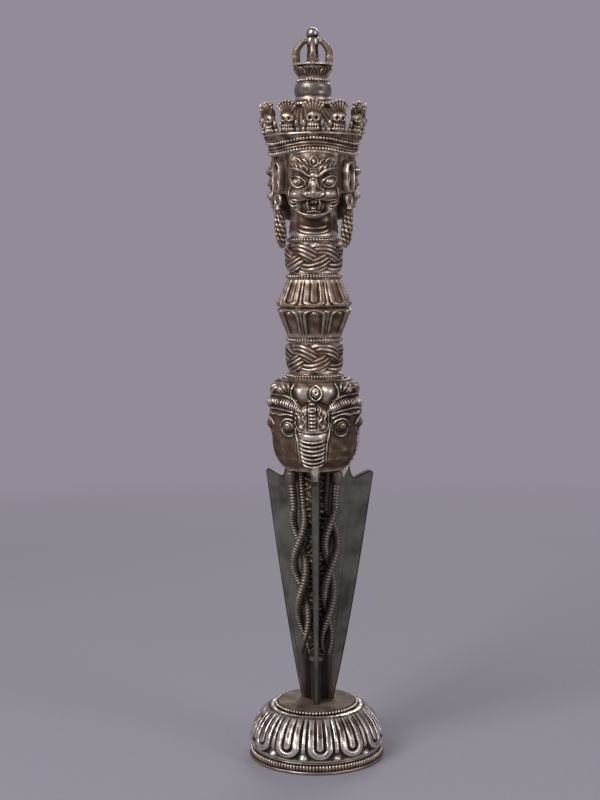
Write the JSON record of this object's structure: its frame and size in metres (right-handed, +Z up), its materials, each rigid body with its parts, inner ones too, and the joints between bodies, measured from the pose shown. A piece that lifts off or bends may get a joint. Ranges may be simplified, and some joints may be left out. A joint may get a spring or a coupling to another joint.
{
  "type": "three-bladed ritual dagger",
  "caption": "Ritual dagger with three wings and a cast handle of faces, knots and lotus, standing point down in a domed lotus stand it lifts out of.",
  "frame": {"origin": "centre of the stand's foot, on the ground", "axes": "+Z up along the dagger's axis, from the point in the stand to the knob; the front wing and the front face look along -Y; +X is the right-hand side of the picture"},
  "size_m": [0.0566, 0.0566, 0.3003],
  "materials": {
    "antiqued_iron": "antiqued cast iron, dark brown patina in the recesses and rubbed bright on the high points",
    "worn_iron": "cast iron rubbed bright",
    "dark_iron": "dull dark iron",
    "blade_steel": "forged steel, dull and filed smooth"
  },
  "bodies": {
    "stand": {"stand_foot": "worn_iron", "stand_dome": "worn_iron", "stand_plate": "dark_iron", "stand_socket": "dark_iron", "stand_top_ring": "worn_iron", "stand_foot_ring": "worn_iron"},
    "phurba": {"tang": "dark_iron", "wing_front": "blade_steel", "wing_right": "blade_steel", "wing_left": "blade_steel", "naga_right_outer": "antiqued_iron", "naga_right_inner": "antiqued_iron", "naga_head_right": "antiqued_iron", "naga_back_outer": "antiqued_iron", "naga_back_inner": "antiqued_iron", "naga_head_back": "antiqued_iron", "naga_left_outer": "antiqued_iron", "naga_left_inner": "antiqued_iron", "naga_head_left": "antiqued_iron", "makara_head": "antiqued_iron", "ring_makara": "worn_iron", "knot_lower": "antiqued_iron", "ring_lower": "worn_iron", "lotus_lower": "antiqued_iron", "lotus_upper": "antiqued_iron", "ring_upper": "worn_iron", "knot_upper": "antiqued_iron", "ring_neck": "worn_iron", "head": "antiqued_iron", "earring_right": "antiqued_iron", "earring_back": "antiqued_iron", "earring_left": "antiqued_iron", "crown_band": "antiqued_iron", "crown_leaf_01": "antiqued_iron", "crown_leaf_02": "antiqued_iron", "crown_leaf_03": "antiqued_iron", "crown_leaf_04": "antiqued_iron", "crown_leaf_05": "antiqued_iron", "crown_leaf_06": "antiqued_iron", "crown_leaf_07": "antiqued_iron", "crown_leaf_08": "antiqued_iron", "crown_leaf_09": "antiqued_iron", "crown_leaf_10": "antiqued_iron", "crown_leaf_11": "antiqued_iron", "crown_leaf_12": "antiqued_iron", "topknot": "antiqued_iron", "finial_collar": "antiqued_iron", "finial_ring": "worn_iron", "finial_cup": "antiqued_iron", "prong_front": "antiqued_iron", "prong_right": "antiqued_iron", "prong_back": "antiqued_iron", "prong_left": "antiqued_iron", "spire": "antiqued_iron"}
  },
  "joints": [
    {"name": "lift_out", "type": "slide", "parent": "stand", "child": "phurba", "axis": [0, 0, 1], "range_m": [0, 0.03]}
  ]
}
